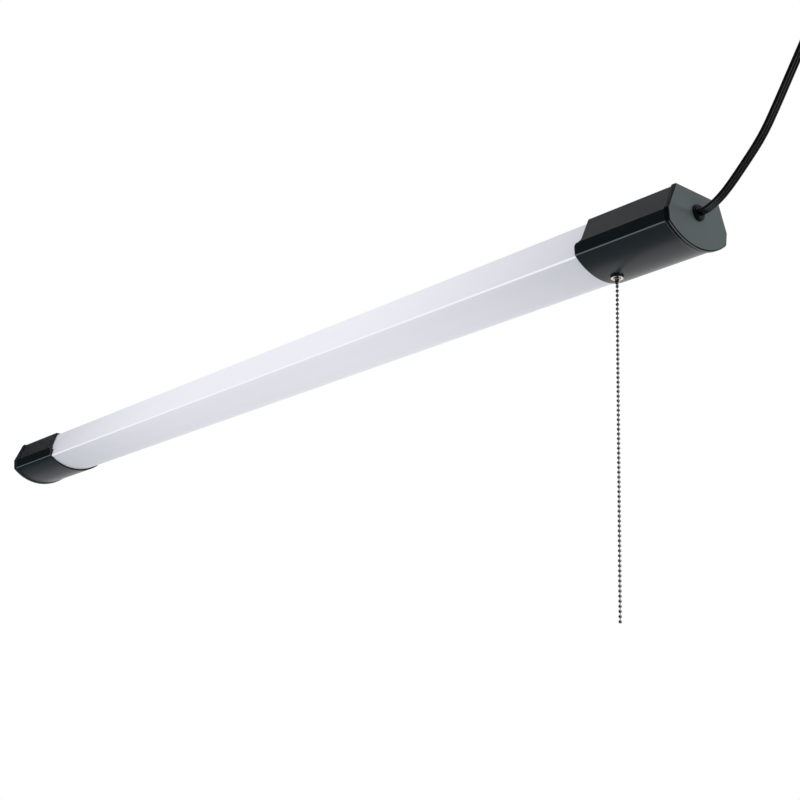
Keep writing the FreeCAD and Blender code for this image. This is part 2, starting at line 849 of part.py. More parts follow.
def switch_case():
    """Moulded box, open above, with a bearing in each side wall and a peg for the spring."""
    outer = centred_box((switch_start_x, switch_end_x), switch_half_width,
                        (switch_bottom_z, switch_top_z))
    inner = centred_box((switch_start_x + switch_wall, switch_end_x - switch_wall),
                        switch_half_width - switch_wall,
                        (switch_bottom_z + switch_wall, switch_top_z + 1))
    bearing = rod(axle_radius + running_gap, V(drum_x, -switch_half_width - 1, drum_z),
                  V(drum_x, switch_half_width + 1, drum_z))
    bushing_hole = rod(bushing_radius + thread_gap, V(chain_x, 0, switch_bottom_z - 1),
                       V(chain_x, 0, switch_bottom_z + switch_wall + 1))
    lead_holes = [rod(lead_radius + thread_gap, V(switch_end_x - switch_wall - 1, y, lead_z),
                      V(switch_end_x + 1, y, lead_z)) for y in (-lead_spacing, lead_spacing)]
    peg_x = drum_x + spring_outer_radius + thread_gap + peg_radius
    peg = rod(peg_radius, V(peg_x, -switch_half_width + switch_wall / 2, drum_z),
              V(peg_x, -spring_near_y, drum_z))
    return joined([without(outer, [inner, bearing, bushing_hole] + lead_holes), peg])


def switch_cover():
    """Flat cover with a lip that drops into the case."""
    plate = centred_box((switch_start_x, switch_end_x), switch_half_width,
                        (switch_top_z, switch_top_z + cover_thickness))
    inner_gap = switch_wall + fit_gap
    lip = centred_box((switch_start_x + inner_gap, switch_end_x - inner_gap),
                      switch_half_width - inner_gap, (switch_top_z - cover_thickness / 2, switch_top_z))
    return joined([plate, lip])


def switch_bushing():
    """Brass tube with a flange inside the case and a rounded mouth below the nut."""
    top = switch_bottom_z + switch_wall
    bottom = nut_bottom_z - bushing_mouth
    tube = rod(bushing_radius, V(chain_x, 0, bottom), V(chain_x, 0, top))
    rims = [edge for edge in tube.Edges if abs(edge.CenterOfMass.z - bottom) < 0.01]
    tube = tube.makeFillet(bushing_mouth / 2, rims)
    flange = rod(bushing_flange_radius, V(chain_x, 0, top), V(chain_x, 0, top + bushing_flange))
    bore = rod(bushing_bore, V(chain_x, 0, bottom - 1), V(chain_x, 0, top + bushing_flange + 1))
    return joined([tube, flange]).cut(bore)


def bushing_nut():
    """Round nut with a fluted edge, seen under the cap."""
    disc = rod(nut_radius, V(chain_x, 0, nut_bottom_z), V(chain_x, 0, nut_seat_z))
    rims = [edge for edge in disc.Edges if abs(edge.CenterOfMass.z - nut_bottom_z) < 0.01]
    disc = disc.makeFillet(nut_height / 4, rims)
    cutters = [rod(bushing_radius + thread_gap, V(chain_x, 0, nut_bottom_z - 1),
                   V(chain_x, 0, nut_seat_z + 1))]
    for i in range(nut_flute_count):
        angle = 2 * math.pi * i / nut_flute_count
        x = chain_x + nut_radius * math.cos(angle)
        y = nut_radius * math.sin(angle)
        cutters.append(rod(nut_flute_radius, V(x, y, nut_bottom_z - 1), V(x, y, nut_seat_z + 1)))
    return without(disc, cutters)


def bushing_locknut():
    """Hexagonal nut between the cap's pad and the switch case."""
    angles = [math.pi * i / 3 for i in range(6)]
    corners = [V(chain_x + locknut_radius * math.cos(angle), locknut_radius * math.sin(angle), pad_z)
               for angle in angles]
    block = Part.Face(Part.makePolygon(corners + corners[:1])).extrude(V(0, 0, locknut_height))
    return block.cut(rod(bushing_radius + thread_gap, V(chain_x, 0, pad_z - 1),
                         V(chain_x, 0, switch_bottom_z)))


def across(radius, near_y, far_y):
    """A disc about the drum's axis."""
    return rod(radius, V(drum_x, near_y, drum_z), V(drum_x, far_y, drum_z))


def switch_drum():
    """Grooved drum on its axle, with a hub on one side for the spring."""
    half_groove = drum_groove / 2
    outer = half_groove + drum_flange
    return joined([
        across(axle_radius, -switch_half_width, switch_half_width),
        across(drum_groove_radius, -half_groove, half_groove),
        across(drum_flange_radius, half_groove, outer),
        across(drum_flange_radius, -outer, -half_groove),
        across(spring_hub_radius, -spring_near_y - spring_width, -outer),
    ])


def contact_rotor():
    """Toothed rotor that the drum's pawl turns a step at each pull."""
    near = drum_groove / 2 + drum_flange + fit_gap
    core = across(rotor_core_radius, near, near + rotor_width)
    tooth = box((drum_x, drum_x + rotor_radius), (near, near + rotor_width),
                (drum_z - rotor_tooth_width / 2, drum_z + rotor_tooth_width / 2))
    teeth = []
    for i in range(rotor_tooth_count):
        copy = tooth.copy()
        copy.rotate(V(drum_x, 0, drum_z), V(0, 1, 0), 360 * i / rotor_tooth_count)
        teeth.append(copy)
    bore = across(axle_radius + running_gap, near - 1, near + rotor_width + 1)
    return joined([core] + teeth).cut(bore)


def switch_spring():
    """Clock spring of half circles, from the drum's hub out to the case's peg."""
    inner_edges, outer_edges = [], []
    for edges, offset in ((inner_edges, 0.0), (outer_edges, spring_thickness)):
        for i in range(spring_half_turns):
            side = 1 if i % 2 == 0 else -1
            centre = V(drum_x - (0 if side == 1 else spring_pitch / 2), 0, drum_z)
            radius = spring_hub_radius + thread_gap + offset + i * spring_pitch / 2
            edges.append(arc(centre + V(-side * radius, 0, 0), centre + V(0, 0, side * radius),
                             centre + V(side * radius, 0, 0)))
    ends = [line(inner_edges[i].Vertexes[i].Point, outer_edges[i].Vertexes[i].Point) for i in (0, -1)]
    face = Part.Face(Part.Wire(Part.sortEdges(inner_edges + outer_edges + ends)[0]))
    face.translate(V(0, -spring_near_y - spring_width, 0))
    return face.extrude(V(0, spring_width, 0))


def switch_contacts():
    """Two brass blades that stand beside the rotor."""
    near = bushing_flange_radius + fit_gap
    blades = []
    for side in (-1, 1):
        face_x = drum_x + side * (rotor_radius + 2 * fit_gap)
        low, high = sorted((face_x, face_x + side * contact_thickness))
        floor_z = switch_bottom_z + switch_wall
        blades.append(box((low, high), (near, near + contact_width), (floor_z, floor_z + contact_height)))
    return blades


# ---- pull chain ---------------------------------------------------------------------------------

def bead(radius, bore, z):
    ball = Part.makeSphere(radius, V(chain_x, 0, z))
    return ball.cut(rod(bore, V(chain_x, 0, z - radius), V(chain_x, 0, z + radius)))


def link(radius, top, bottom):
    return rod(radius, V(chain_x, 0, bottom), V(chain_x, 0, top))


def draw_chain():
    """Small chain from the drum to the coupling, inside the bushing, as one piece."""
    heights = [coupling_pivot_z + i * inner_bead_pitch for i in range(inner_bead_count)]
    balls = [Part.makeSphere(inner_bead_radius, V(chain_x, 0, z)) for z in heights]
    return joined(balls + [link(inner_wire_radius, heights[-1], heights[0])])


def chain_coupling():
    """Bell that holds the draw chain's last bead and hangs the pull chain under it."""
    pivot = V(chain_x, 0, coupling_pivot_z)
    top = pivot + V(0, 0, coupling_mouth)
    waist = pivot - V(0, 0, coupling_mouth)
    bottom = V(chain_x, 0, first_bead_z + bead_radius + joint_gap)
    bell = joined([rod(coupling_radius, waist, top),
                   cone(coupling_neck_radius, coupling_radius, bottom, waist)])
    pocket_radius = inner_bead_radius + fit_gap / 2
    throat = 0.75 * pocket_radius
    mouth = cone(throat, coupling_mouth_radius, pivot + V(0, 0, inner_bead_radius / 2),
                 top + V(0, 0, 0.01))
    return without(bell, [Part.makeSphere(pocket_radius, pivot), mouth])


def bead_z(index):
    return first_bead_z - index * bead_pitch


def chain_segment(first, count):
    """Hollow beads on short wires; the first wire hangs from the bead above, which is its pivot."""
    pieces = []
    for index in range(first, first + count):
        pieces.append(bead(bead_radius, bead_bore, bead_z(index)))
        if index == 0:
            continue
        top = bead_z(index - 1) + (-bead_radius - joint_gap if index == first else -wire_radius)
        pieces.append(link(wire_radius, top, bead_z(index) + wire_radius))
    return pieces


# ---- strain relief, cord and plug ---------------------------------------------------------------

def strain_relief():
    """Nylon bushing that snaps into the plate and grips the cord."""
    def disc(radius, start, end):
        return rod(radius, V(start, 0, relief_z), V(end, 0, relief_z))

    body = disc(relief_body_radius, plate_inner_x - relief_inner, half_length)
    catch_x = plate_inner_x - fit_gap
    catch = cone(relief_body_radius, relief_catch_radius, V(catch_x - relief_catch, 0, relief_z),
                 V(catch_x, 0, relief_z))
    flange_x = half_length + relief_flange
    flange = disc(relief_flange_radius, half_length, flange_x)
    rims = [edge for edge in flange.Edges if abs(edge.CenterOfMass.x - flange_x) < 0.01]
    flange = flange.makeFillet(relief_flange / 2, rims)
    lip = disc(relief_lip_radius, flange_x, relief_face_x)
    rims = [edge for edge in lip.Edges if abs(edge.CenterOfMass.x - relief_face_x) < 0.01]
    lip = lip.makeFillet(relief_lip / 2, rims)
    outline = grown(flat_outline(V(0, 0, relief_z), V(0, 1, 0), V(0, 0, 1)), thread_gap)
    slot = along_x(outline, plate_inner_x - relief_inner - 1, relief_face_x + 1)
    return joined([body, catch, flange, lip]).cut(slot)


def cord_tail():
    """The cord's end inside the cap: through the strain relief, then down past the driver."""
    start = V(relief_face_x, 0, relief_z)
    path = bent_path([start, V(tail_x, 0, relief_z), V(tail_x, 0, tail_end_z)], [tail_bend])
    return flat_cord(path, start, V(-1, 0, 0))


# The cord outside, in the plane y = 0, as (x, z) from its exit, between its straight first and
# last runs.
cord_route = [
    (15.9, 3.6),
    (31.4, 12.6),
    (50.4, 28.8),
    (68.4, 48.8),
    (84.4, 72.8),
    (99.1, 96.6),
]


def coil_turn_end():
    """Turns from the coil's start, at the end of its straight run, to where it heads straight down."""
    return coil_flat_turns + coil_start_angle / 360


def eased(value):
    """0 below 0, 1 above 1, and smooth between them."""
    value = min(max(value, 0.0), 1.0)
    return value * value * (3 - 2 * value)


def coil_point(turn):
    """The coil's centre line: a flat spiral, drawn in and climbing along Y in its last half turn."""
    end = coil_turn_end()
    drawn_in = coil_climb_draw_in * eased((turn - end + 0.75) / 0.5)
    radius = coil_radius - coil_pitch * turn - drawn_in
    angle = math.radians(coil_start_angle - 360 * turn)
    return V(coil_center_x + radius * math.cos(angle), coil_climb * eased((turn - end + 0.5) / 0.5),
             coil_center_z + radius * math.sin(angle))


def coil_heading(turn):
    step = 1e-4
    return (coil_point(turn + step) - coil_point(turn - step)).normalize()


def biarc(start, start_heading, end, end_heading):
    """Two tangent arcs of equal reach between two points with given headings."""
    chord = end - start
    both = start_heading + end_heading
    spread_term = 2 * (1 - start_heading.dot(end_heading))
    along = chord.dot(both)
    reach = (-along + math.sqrt(along * along + spread_term * chord.dot(chord))) / spread_term
    meeting = (start + end + (start_heading - end_heading) * reach) * 0.5
    edges = []
    for a, heading, b, corner in ((start, start_heading, meeting, start + start_heading * reach),
                                  (meeting, None, end, end - end_heading * reach)):
        middle = (a + b) * 0.5
        to_corner = corner - middle
        half_chord = (b - a).Length / 2
        half_angle = math.atan2(to_corner.Length, half_chord)
        bulge = half_chord * math.tan(half_angle / 2)
        edges.append(arc(a, middle + to_corner.normalize() * bulge, b))
    return edges


def free_cord():
    """The cord from the strain relief to the coil, in straight runs with tangent arcs."""
    entry = coil_point(0) - coil_heading(0) * coil_start_run
    exit_point = V(relief_face_x, 0, relief_z)
    points = [exit_point, exit_point + V(cord_first_run, 0, 0)]
    points += [exit_point + V(x, 0, z) for x, z in cord_route]
    points += [entry - coil_heading(0) * cord_last_run, entry]
    radii = []
    for before, corner, after in zip(points, points[1:], points[2:]):
        turn = (corner - before).getAngle(after - corner)
        radii.append(0.45 * min((corner - before).Length, (after - corner).Length) / math.tan(turn / 2))
    path = bent_path(points, radii)
    print("cord bends, mm:", [round(radius) for radius in radii])
    print("cord runs, mm:", [round((b - a).Length, 1) for a, b in zip(points, points[1:])])
    return flat_cord(path, points[0], (points[1] - points[0]).normalize()), path.Length


def cord_coil():
    """The put-away length: straight in, turns on biarcs, and straight out to the plug."""
    end = coil_turn_end()
    steps = math.ceil(end * coil_steps_per_turn)
    turns = [end * i / steps for i in range(steps + 1)]
    start = coil_point(0) - coil_heading(0) * coil_start_run
    edges = [line(start, coil_point(0))]
    for a, b in zip(turns, turns[1:]):
        edges += biarc(coil_point(a), coil_heading(a), coil_point(b), coil_heading(b))
    edges.append(line(coil_point(end), coil_end()))
    path = Part.Wire(edges)
    return flat_cord(path, start, coil_heading(0)), path.Length


def coil_end():
    end = coil_turn_end()
    return coil_point(end) + coil_heading(end) * coil_end_run


def coil_gap():
    """Least gap between two turns, from points on the centre line."""
    end = coil_turn_end()
    least = cord_width
    samples = 60
    for i in range(int(samples * (end - 1)) + 1):
        for shift in range(-5, 6):
            inner = coil_point(min(i / samples + 1 + shift / (5 * samples), end))
            outer = coil_point(i / samples)
            sideways = abs(inner.y - outer.y) - cord_width
            radial = math.hypot(inner.x - outer.x, inner.z - outer.z) - cord_thickness
            least = min(least, max(sideways, radial))
    return least


def cord_tie():
    """Band round the turns at the coil's lowest point."""
    lowest_turns = [(coil_start_angle + 90) / 360 + i for i in range(coil_flat_turns)]
    radii = [(coil_point(turn) - V(coil_center_x, 0, coil_center_z)).Length for turn in lowest_turns]
    low = coil_center_z - max(radii) - cord_thickness / 2 - fit_gap
    high = coil_center_z - min(radii) + cord_thickness / 2 + fit_gap
    half = cord_width / 2 + fit_gap
    run = (coil_center_x - tie_width / 2, coil_center_x + tie_width / 2)
    outer = centred_box(run, half + tie_thickness, (low - tie_thickness, high + tie_thickness))
    corners = [edge for edge in outer.Edges if abs(edge.tangentAt(0).x) > 0.5]
    outer = outer.makeFillet(tie_thickness, corners)
    return outer.cut(centred_box((run[0] - 1, run[1] + 1), half, (low, high)))


def placed_plug(shape):
    """From the plug's own frame, with +X out of the blades, to the end of the cord."""
    heading = coil_heading(coil_turn_end())
    turn = FreeCAD.Rotation(heading, V(0, 1, 0), heading.cross(V(0, 1, 0)), "XYZ")
    shape.Placement = FreeCAD.Placement(coil_end(), turn)
    return shape


def plug_body():
    """Moulded plug: a slim tail over the cord, a grip, and a wider face."""
    face_x = plug_tail_length + plug_length
    grip_x = face_x - plug_face_length
    shoulder_x = plug_tail_length + plug_shoulder
    sections = [
        rounded_rectangle(0, plug_tail_radius + plug_tail_round, plug_tail_radius - plug_tail_flat,
                          plug_tail_round),
        rounded_rectangle(plug_tail_length, plug_tail_radius + plug_tail_flat, plug_tail_radius,
                          plug_tail_flat),
        rounded_rectangle(shoulder_x, plug_width / 2, plug_depth / 2, plug_round),
        rounded_rectangle(grip_x, plug_width / 2, plug_depth / 2, plug_round),
    ]
    grip = Part.makeLoft(sections, True, True)
    face = Part.Face(rounded_rectangle(grip_x, plug_face_width / 2, plug_face_depth / 2, plug_round))
    face = face.extrude(V(plug_face_length, 0, 0))
    sockets = blades(thread_gap) + [ground_pin(thread_gap)]
    return placed_plug(without(joined([grip, face]), sockets))


def blades(gap=0.0):
    """Two flat blades, set into the face; with a gap they are the sockets that hold them."""
    face_x = plug_tail_length + plug_length
    pieces = []
    for side in (-1, 1):
        y = side * blade_spacing / 2
        half_thickness, half_width = blade_thickness / 2 + gap, blade_width / 2 + gap
        blade = box((face_x - blade_root - gap, face_x + blade_length),
                    (y - half_thickness, y + half_thickness),
                    (blade_z - half_width, blade_z + half_width))
        if gap == 0:
            hole_x = face_x + blade_length - blade_hole_from_tip
            blade = blade.cut(rod(blade_hole_radius, V(hole_x, y - blade_width, blade_z),
                                  V(hole_x, y + blade_width, blade_z)))
        pieces.append(blade)
    return pieces


def ground_pin(gap=0.0):
    """Round pin with a domed tip."""
    face_x = plug_tail_length + plug_length
    tip = V(face_x + ground_pin_length - ground_pin_radius, 0, blade_z + ground_pin_offset)
    root = V(face_x - blade_root - gap, 0, tip.z)
    radius = ground_pin_radius + gap
    return joined([rod(radius, root, tip), Part.makeSphere(radius, tip)])


# ---- leads in the power cap ---------------------------------------------------------------------

def hot_lead():
    return wire_along([V(tail_x, -lead_spacing, tail_end_z), V(tail_x, -lead_spacing, lead_z),
                       V(switch_end_x - switch_wall, -lead_spacing, lead_z)], lead_radius, lead_bend)


def switched_lead():
    x, y = lid_lead_places()[1]
    return wire_along([V(switch_end_x - switch_wall, y, lead_z), V(x, y, lead_z), V(x, y, parts_z)],
                      lead_radius, lead_bend)


def neutral_lead():
    x, y = lid_lead_places()[0]
    points = [V(tail_x, y, tail_end_z), V(tail_x, y, lead_z), V(x, y, lead_z), V(x, y, parts_z)]
    return wire_along(points, lead_radius, lead_bend)


def ground_lead():
    """Green lead from the cord to a ring terminal under the ground screw."""
    terminal_low = -tray_wall - ring_terminal_thickness
    return wire_along([V(tail_x, lead_spacing, tail_end_z), V(tail_x, lead_spacing, lead_z),
                       V(tail_x, ground_lead_side, lead_z), V(tail_x, ground_lead_side, terminal_low)],
                      lead_radius, lead_bend)


def ring_terminal():
    low, high = -tray_wall - ring_terminal_thickness, -tray_wall
    ring = rod(ring_terminal_radius, V(tail_x, ground_screw_side, low),
               V(tail_x, ground_screw_side, high))
    tongue = box((tail_x - lead_radius, tail_x + lead_radius),
                 (ground_screw_side, ground_lead_side + lead_radius), (low, high))
    hole = rod(ground_screw_radius + thread_gap, V(tail_x, ground_screw_side, low - 1),
               V(tail_x, ground_screw_side, 0))
    return joined([ring, tongue]).cut(hole)


def ground_screw():
    seat = -tray_wall - ring_terminal_thickness
    face = V(tail_x, ground_screw_side, seat - ground_screw_head)
    head = rod(ground_screw_head_radius, face, V(tail_x, ground_screw_side, seat))
    shank = rod(ground_screw_radius, V(tail_x, ground_screw_side, seat),
                V(tail_x, ground_screw_side, 0))
    return with_cross(joined([head, shank]), face, V(0, 0, -1), ground_screw_head_radius,
                      ground_screw_head)


def led_leads():
    """Two leads from the driver to the board's connector."""
    connector_x = board_starts()[1] + board_length - fit_gap
    return [rod(lead_radius, V(connector_x, y, feed_z), V(driver_start_x + driver_wall, y, feed_z))
            for y in (-lead_spacing, lead_spacing)]


# ---- every sub-part -----------------------------------------------------------------------------

save("top_tray", tray())
save("reflector_pan", pan())
save("pan_screws", *pan_screws())
save("diffuser", diffuser())
save("led_board_left", board(board_starts()[0]))
save("led_board_right", board(board_starts()[1]))
save("led_chips", *chips())
save("board_screws", *board_screws())
save("board_link", board_link())
save("feed_connector", feed_connector())

save("driver_case", driver_case())
save("driver_lid", driver_lid())
save("driver_circuit_board", circuit_board())
save("driver_transformer", transformer())
save("driver_capacitor", capacitor())
save("driver_choke", choke())
save("driver_screws", *driver_screws())

save("power_cap_shell", power_cap_shell())
save("plain_cap_shell", turned(cap_shell()))
save("power_end_plate", power_end_plate())
save("plain_end_plate", turned(end_plate()))
save("cap_screws", *cap_screws())

save("switch_case", switch_case())
save("switch_cover", switch_cover())
save("switch_bushing", switch_bushing())
save("bushing_nut", bushing_nut())
save("bushing_locknut", bushing_locknut())
save("switch_drum", switch_drum())
save("contact_rotor", contact_rotor())
save("switch_spring", switch_spring())
save("switch_contacts", *switch_contacts())

save("draw_chain", draw_chain())
save("chain_coupling", chain_coupling())
segment_starts = [0, top_bead_count, top_bead_count + upper_bead_count,
                  top_bead_count + upper_bead_count + lower_bead_count]
save("pull_chain_top", *chain_segment(segment_starts[0], top_bead_count))
save("pull_chain_upper", *chain_segment(segment_starts[1], upper_bead_count))
save("pull_chain_lower", *chain_segment(segment_starts[2], lower_bead_count))
save("pull_chain_end", *chain_segment(segment_starts[3], end_bead_count))

save("strain_relief", strain_relief())
save("cord_tail", cord_tail())
cord, cord_length = free_cord()
coil, coil_length = cord_coil()
save("power_cord", cord)
save("cord_coil", coil)
save("cord_tie", cord_tie())
save("plug_body", plug_body())
save("plug_blades", *[placed_plug(blade) for blade in blades()])
save("plug_ground_pin", placed_plug(ground_pin()))

save("hot_lead", hot_lead())
save("neutral_lead", neutral_lead())
save("switched_lead", switched_lead())
save("ground_lead", ground_lead())
save("ring_terminal", ring_terminal())
save("ground_screw", ground_screw())
save("led_leads", *led_leads())

cord_area = cord_thickness * (cord_width - cord_thickness) + math.pi * cord_thickness ** 2 / 4
print("cord volume over area times length:", round(cord.Volume / (cord_area * cord_length), 4))
print("coil volume over area times length:", round(coil.Volume / (cord_area * coil_length), 4))
print("cord length outside the light, mm:", round(cord_length + coil_length, 1))
print("coil's least gap to itself, mm:", round(coil_gap(), 2))
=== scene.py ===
import math

import bpy
import numpy as np
from mathutils import Matrix, Vector


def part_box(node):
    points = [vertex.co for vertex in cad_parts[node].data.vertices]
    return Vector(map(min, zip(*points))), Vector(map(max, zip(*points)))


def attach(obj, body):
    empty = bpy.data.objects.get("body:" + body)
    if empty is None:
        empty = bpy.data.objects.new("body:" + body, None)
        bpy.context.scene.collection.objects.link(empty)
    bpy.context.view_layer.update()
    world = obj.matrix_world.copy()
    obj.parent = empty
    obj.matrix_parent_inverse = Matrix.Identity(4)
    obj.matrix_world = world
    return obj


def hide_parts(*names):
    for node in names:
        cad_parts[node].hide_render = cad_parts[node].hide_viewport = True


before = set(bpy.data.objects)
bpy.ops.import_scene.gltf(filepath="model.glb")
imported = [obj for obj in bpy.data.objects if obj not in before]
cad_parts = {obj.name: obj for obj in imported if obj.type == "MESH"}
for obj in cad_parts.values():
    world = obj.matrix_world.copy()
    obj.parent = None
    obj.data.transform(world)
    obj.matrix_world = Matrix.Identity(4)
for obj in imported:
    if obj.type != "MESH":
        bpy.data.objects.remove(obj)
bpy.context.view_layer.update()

# ---- Camera ------------------------------------------------------------------------------------
# Below the light and in front of its power end, looking up along it, so that the diffuser's lower
# faces, the near end plate, the chain and the start of the cord are all in view.

camera_place = Vector((1.33754, -0.93066, -0.55890))
camera_turn = 0.87797
camera_tilt = 0.30528
camera_roll = -0.03779
camera_lens = 65.914

turned = (Matrix.Rotation(camera_turn, 3, "Z") @ Matrix.Rotation(camera_tilt, 3, "X")
          @ Matrix.Rotation(camera_roll, 3, "Y") @ Matrix.Rotation(math.radians(90), 3, "X"))
camera = bpy.data.objects.new("camera", bpy.data.cameras.new("camera"))
camera.matrix_world = Matrix.Translation(camera_place) @ turned.to_4x4()
camera.data.lens = camera_lens
camera.data.sensor_width = 36.0
camera.data.clip_start = 0.01
bpy.context.scene.collection.objects.link(camera)
bpy.context.scene.camera = camera

# ---- Power cord --------------------------------------------------------------------------------
# A flat three-wire cord in glossy black vinyl. It leaves the grommet in the end plate, rises in a
# slack curve, and its spare length is wound in a flat coil that ends in the plug.

cord_exit = (0.6121, 0.0, -0.0158)
cord_width = 0.0095
cord_thickness = 0.0034
rise = [(0.006, 0.0), (0.0168, 0.0040), (0.0292, 0.0120), (0.0477, 0.0290), (0.0673, 0.0484),
        (0.0832, 0.0726), (0.0982, 0.0968)]
coil_centre = (0.800, 0.107)
coil_radius = 0.063
coil_pitch = 0.004
coil_set_back = 0.011
set_back_turns_left = 0.5
coil_draw_in = 0.0026
draw_in_turns_left = 0.75
coil_ease_turns = 0.5
coil_start = 150.0
coil_turns = 3 + coil_start / 360
points_per_turn = 24
steps_per_point = 6
straight_in = 0.0095
straight_before = 0.021
straight_out = 0.034


def eased(value):
    """0 below 0, 1 above 1, and 3 v^2 - 2 v^3 between them."""
    value = np.clip(value, 0.0, 1.0)
    return value * value * (3 - 2 * value)


def coil_point(turn):
    """A spiral round the coil's centre, radius = first radius - pitch x turn. Near its end it is
    drawn in and set back along y, each eased over half a turn."""
    radius = (coil_radius - coil_pitch * turn
              - coil_draw_in * eased((turn - coil_turns + draw_in_turns_left) / coil_ease_turns))
    angle = np.radians(coil_start - 360 * turn)
    return np.stack([coil_centre[0] + radius * np.cos(angle),
                     coil_set_back * eased((turn - coil_turns + set_back_turns_left)
                                           / coil_ease_turns),
                     coil_centre[1] + radius * np.sin(angle)], axis=-1)


def coil_heading(turn):
    """Unit direction of the spiral, from points just before and after."""
    nudge = 1e-4
    step = coil_point(turn + nudge) - coil_point(turn - nudge)
    return step / np.linalg.norm(step)


def cord_control_points():
    """Exit, slack rise, straight run, the coil's turns, straight run to the plug's tail."""
    start = np.array(cord_exit)
    points = [start] + [start + (x, 0, z) for x, z in rise]
    entry = coil_point(np.array(0.0)) - coil_heading(0.0) * straight_in
    points += [entry - coil_heading(0.0) * straight_before, entry]
    turns = np.linspace(0, coil_turns, int(round(points_per_turn * coil_turns)) + 1)
    points += list(coil_point(turns))
    last, heading = points[-1], coil_heading(coil_turns)
    points += [last + heading * straight_out / 2, last + heading * straight_out]
    return np.array(points)


def smooth_line(name, points, steps):
    """Points of a quadratic NURBS line: each stretch is a parabola that three neighbouring control
    points draw, and it meets the next without a kink."""
    curve = bpy.data.curves.new(name, "CURVE")
    curve.dimensions = "3D"
    curve.resolution_u = steps
    spline = curve.splines.new("NURBS")
    spline.points.add(len(points) - 1)
    spline.points.foreach_set("co", np.column_stack([points, np.ones(len(points))]).ravel())
    spline.order_u = 3
    spline.use_endpoint_u = True
    holder = bpy.data.objects.new(name, curve)
    line = bpy.data.meshes.new_from_object(holder)
    found = np.empty(len(line.vertices) * 3)
    line.vertices.foreach_get("co", found)
    bpy.data.meshes.remove(line)
    bpy.data.objects.remove(holder)
    bpy.data.curves.remove(curve)
    return found.reshape(-1, 3)


def mesh_object(name, vertices, faces, material):
    """A smooth-shaded piece from arrays of vertices and quads or triangles."""
    mesh = bpy.data.meshes.new(name)
    mesh.from_pydata(vertices.tolist(), [], faces)
    mesh.polygons.foreach_set("use_smooth", [True] * len(mesh.polygons))
    mesh.materials.append(material)
    mesh.update()
    piece = bpy.data.objects.new(name, mesh)
    bpy.context.scene.collection.objects.link(piece)
    return piece


def grid_faces(rows, columns, looped=False):
    """Quads between rings of points, wound so that they face outwards. A looped grid also joins its
    last ring to its first."""
    row, column = np.meshgrid(np.arange(rows if looped else rows - 1), np.arange(columns),
                              indexing="ij")
    below, after = (row + 1) % rows, (column + 1) % columns
    quads = np.stack([row * columns + column, row * columns + after,
                      below * columns + after, below * columns + column], axis=-1)
    return quads.reshape(-1, 4).tolist()


def carried(profile, path, across):
    """A closed profile (side, up) carried along a path, its side kept as near to across as the
    path lets it: side = across less its part along the path, up = side x along."""
    along = np.gradient(path, axis=0)
    along /= np.linalg.norm(along, axis=1, keepdims=True)
    side = across - along * (along @ across)[:, None]
    side /= np.linalg.norm(side, axis=1, keepdims=True)
    up = np.cross(side, along)
    rings = (path[:, None] + profile[None, :, :1] * side[:, None]
             + profile[None, :, 1:] * up[:, None])
    return rings.reshape(-1, 3)


def ribbed_profile(columns=43, web=0.62):
    """Three round lobes side by side: at s the half thickness is the largest of
    sqrt(r^2 - (s - c)^2) over the lobe centres c, and between them at least web r."""
    radius = cord_thickness / 2
    centre = (cord_width - cord_thickness) / 2
    s = -np.cos(np.linspace(0, np.pi, columns)) * cord_width / 2
    lobes = [np.sqrt(np.clip(radius ** 2 - (s - c) ** 2, 0, None)) for c in (-centre, 0, centre)]
    height = np.max(lobes, axis=0)
    height = np.where(np.abs(s) < centre, np.maximum(height, web * radius), height)
    top = np.column_stack([s, height])
    bottom = np.column_stack([s[::-1], -height[::-1]])[1:-1]
    return np.vstack([top, bottom])


